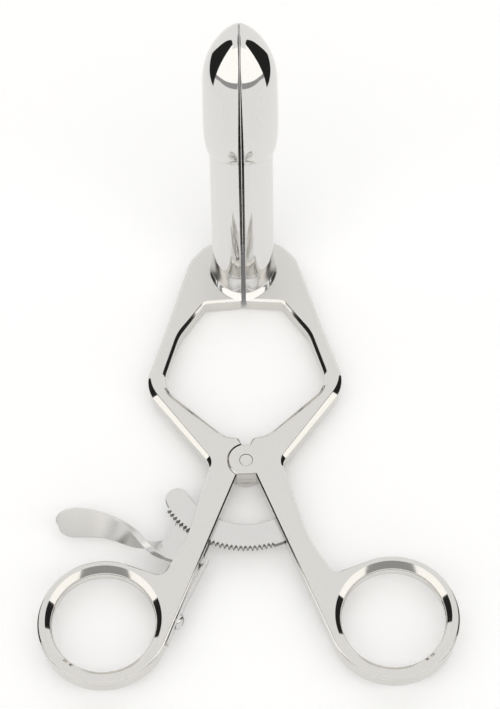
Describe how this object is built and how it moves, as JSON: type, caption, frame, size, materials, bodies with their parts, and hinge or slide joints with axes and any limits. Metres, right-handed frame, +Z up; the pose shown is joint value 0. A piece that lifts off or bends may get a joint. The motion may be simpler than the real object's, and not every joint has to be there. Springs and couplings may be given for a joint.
{
  "type": "anal speculum",
  "caption": "Bivalve speculum with stepped half-round blades, ring handles, arc ratchet and sprung release lever.",
  "frame": {"origin": "on the main pivot's axis, at the flat underside of the pivot head, which lies on the table", "axes": "+X to the right handle, +Y from the rings towards the blades, +Z up from the table, out of the plane of the levers"},
  "size_m": [0.1304, 0.1918, 0.0905],
  "materials": {
    "lever_steel": "satin to bright polish",
    "blade_steel": "mirror polish",
    "rack_steel": "ground and polished",
    "spring_steel": "plain spring steel"
  },
  "bodies": {
    "left_side": {"left_lever": "lever_steel", "left_blade": "blade_steel", "pivot_pin": "lever_steel", "release_pin": "rack_steel", "leaf_spring": "spring_steel", "leaf_spring_screw": "spring_steel"},
    "right_side": {"right_lever": "lever_steel", "right_blade": "blade_steel", "ratchet_rack": "rack_steel", "rack_rivet": "rack_steel"},
    "release": {"release_lever": "rack_steel"}
  },
  "joints": [
    {"name": "main_hinge", "type": "hinge", "parent": "left_side", "child": "right_side", "pos_m": [0, 0, 0.0064], "axis": [0, 0, -1], "range_deg": [0, 31.52]},
    {"name": "release_hinge", "type": "hinge", "parent": "left_side", "child": "release", "pos_m": [-0.0168, -0.0316, 0.0064], "axis": [0, 0, 1], "range_deg": [-6.2, 6], "stiffness_Nm_per_rad": 0.05, "deforming": ["leaf_spring"]}
  ]
}
